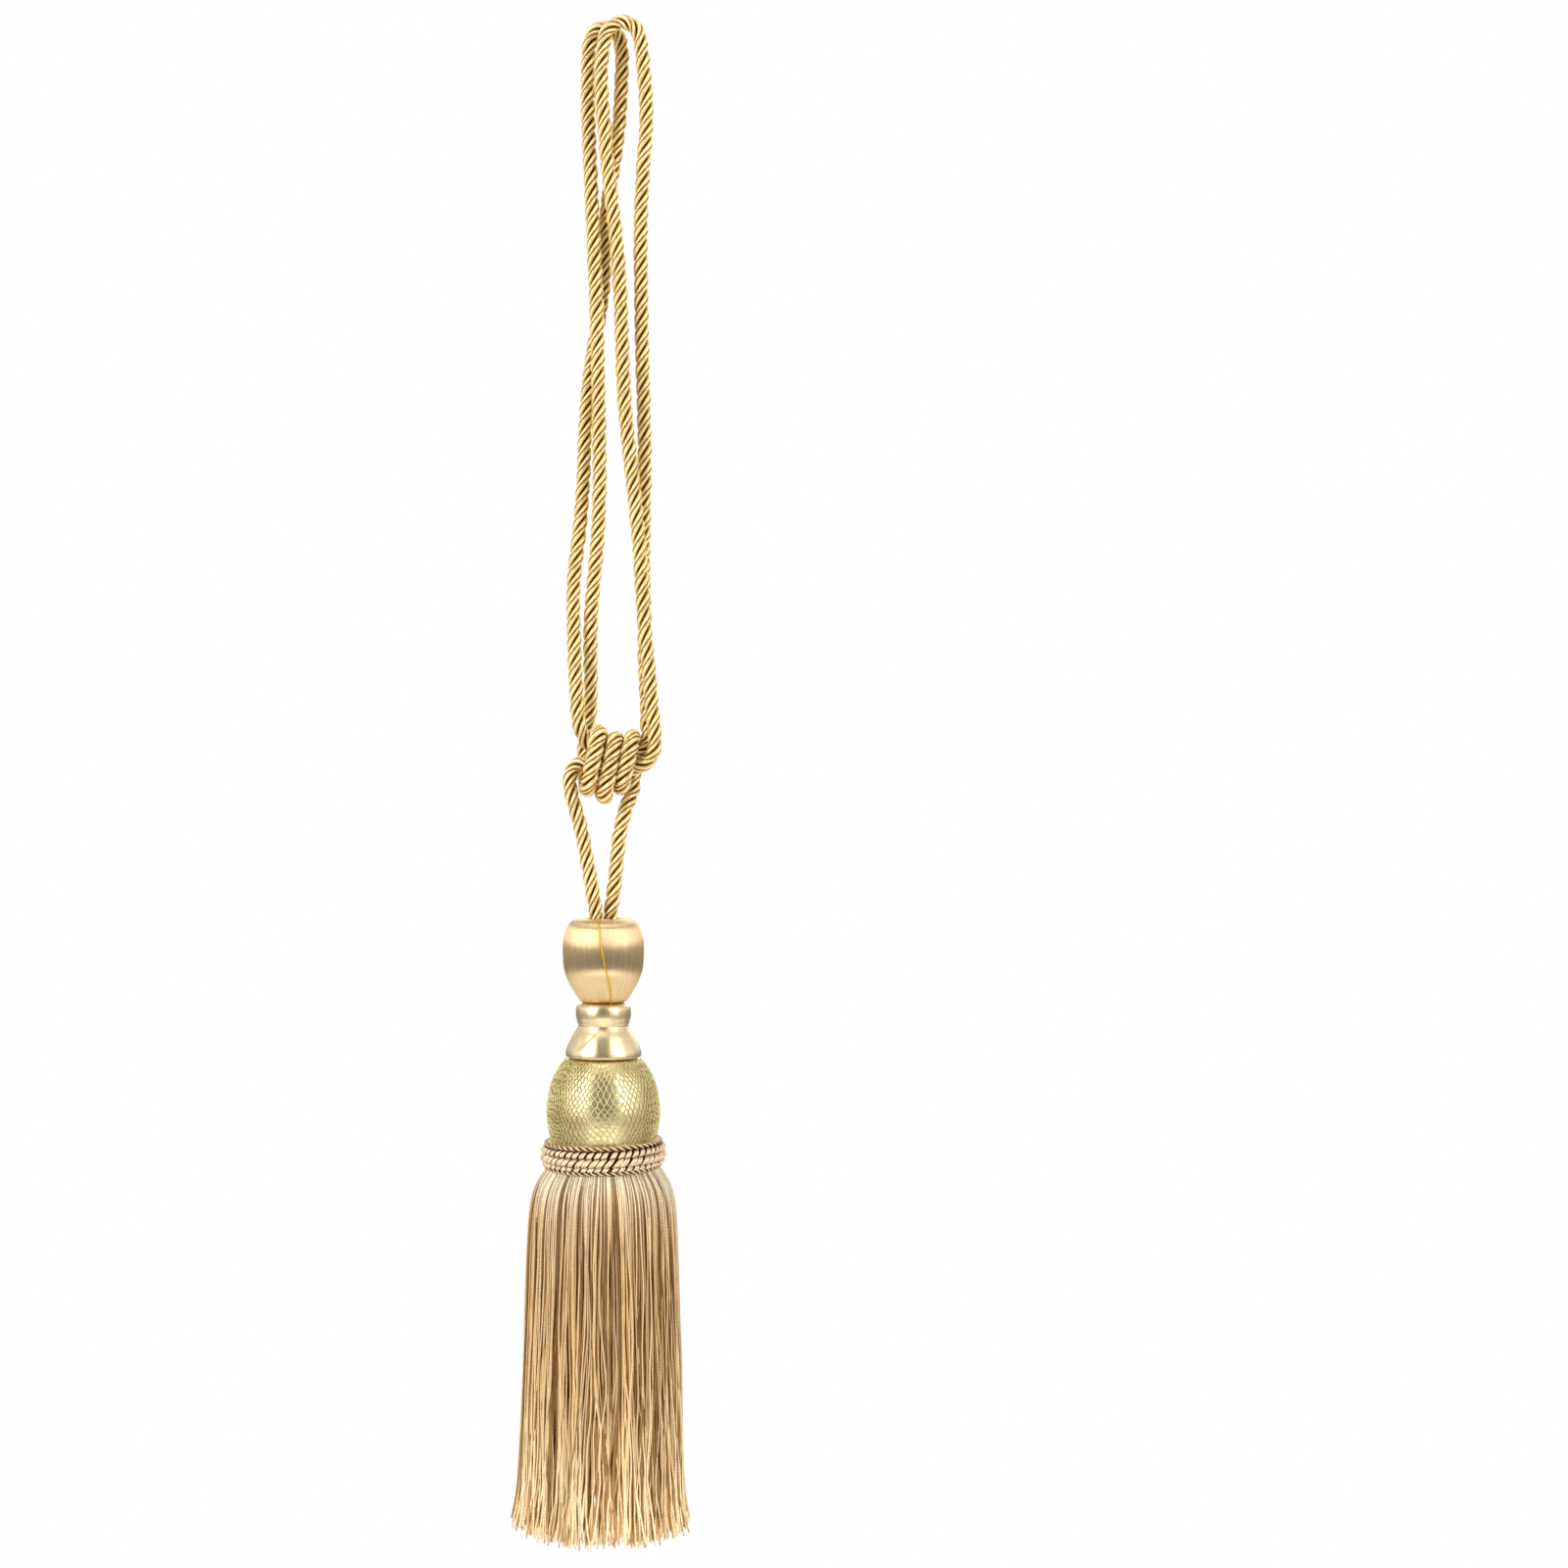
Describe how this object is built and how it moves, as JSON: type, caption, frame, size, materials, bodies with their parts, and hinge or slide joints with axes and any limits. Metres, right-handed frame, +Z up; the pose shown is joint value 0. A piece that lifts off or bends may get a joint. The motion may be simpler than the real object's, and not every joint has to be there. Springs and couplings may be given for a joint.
{
  "type": "curtain tieback tassel",
  "caption": "Twisted rope doubled into two hanging loops, tied in a barrel knot above a turned, thread-covered tassel with a gimp ring and a cut yarn skirt.",
  "frame": {"origin": "the inside top of the rope's two loops, where they rest on a wall hook", "axes": "+Z up along the hanging tassel, the front that the knot's turns show faces -Y, +X to the right of the front"},
  "size_m": [0.0716, 0.0716, 0.6462],
  "materials": {
    "rope_yarn": "silky gold yarn, laid in three strands",
    "bead_thread": "satin thread wound from top to bottom",
    "foil_cloth": "champagne metallic cloth",
    "head_net": "pale gold net over satin",
    "gimp_cord": "beige and gold plaited cord",
    "skirt_yarn": "silky twisted yarn"
  },
  "bodies": {
    "root": {"rope": "rope_yarn", "bead": "bead_thread", "collar": "foil_cloth", "head": "head_net", "braid_ring": "gimp_cord", "skirt": "skirt_yarn"}
  },
  "joints": []
}
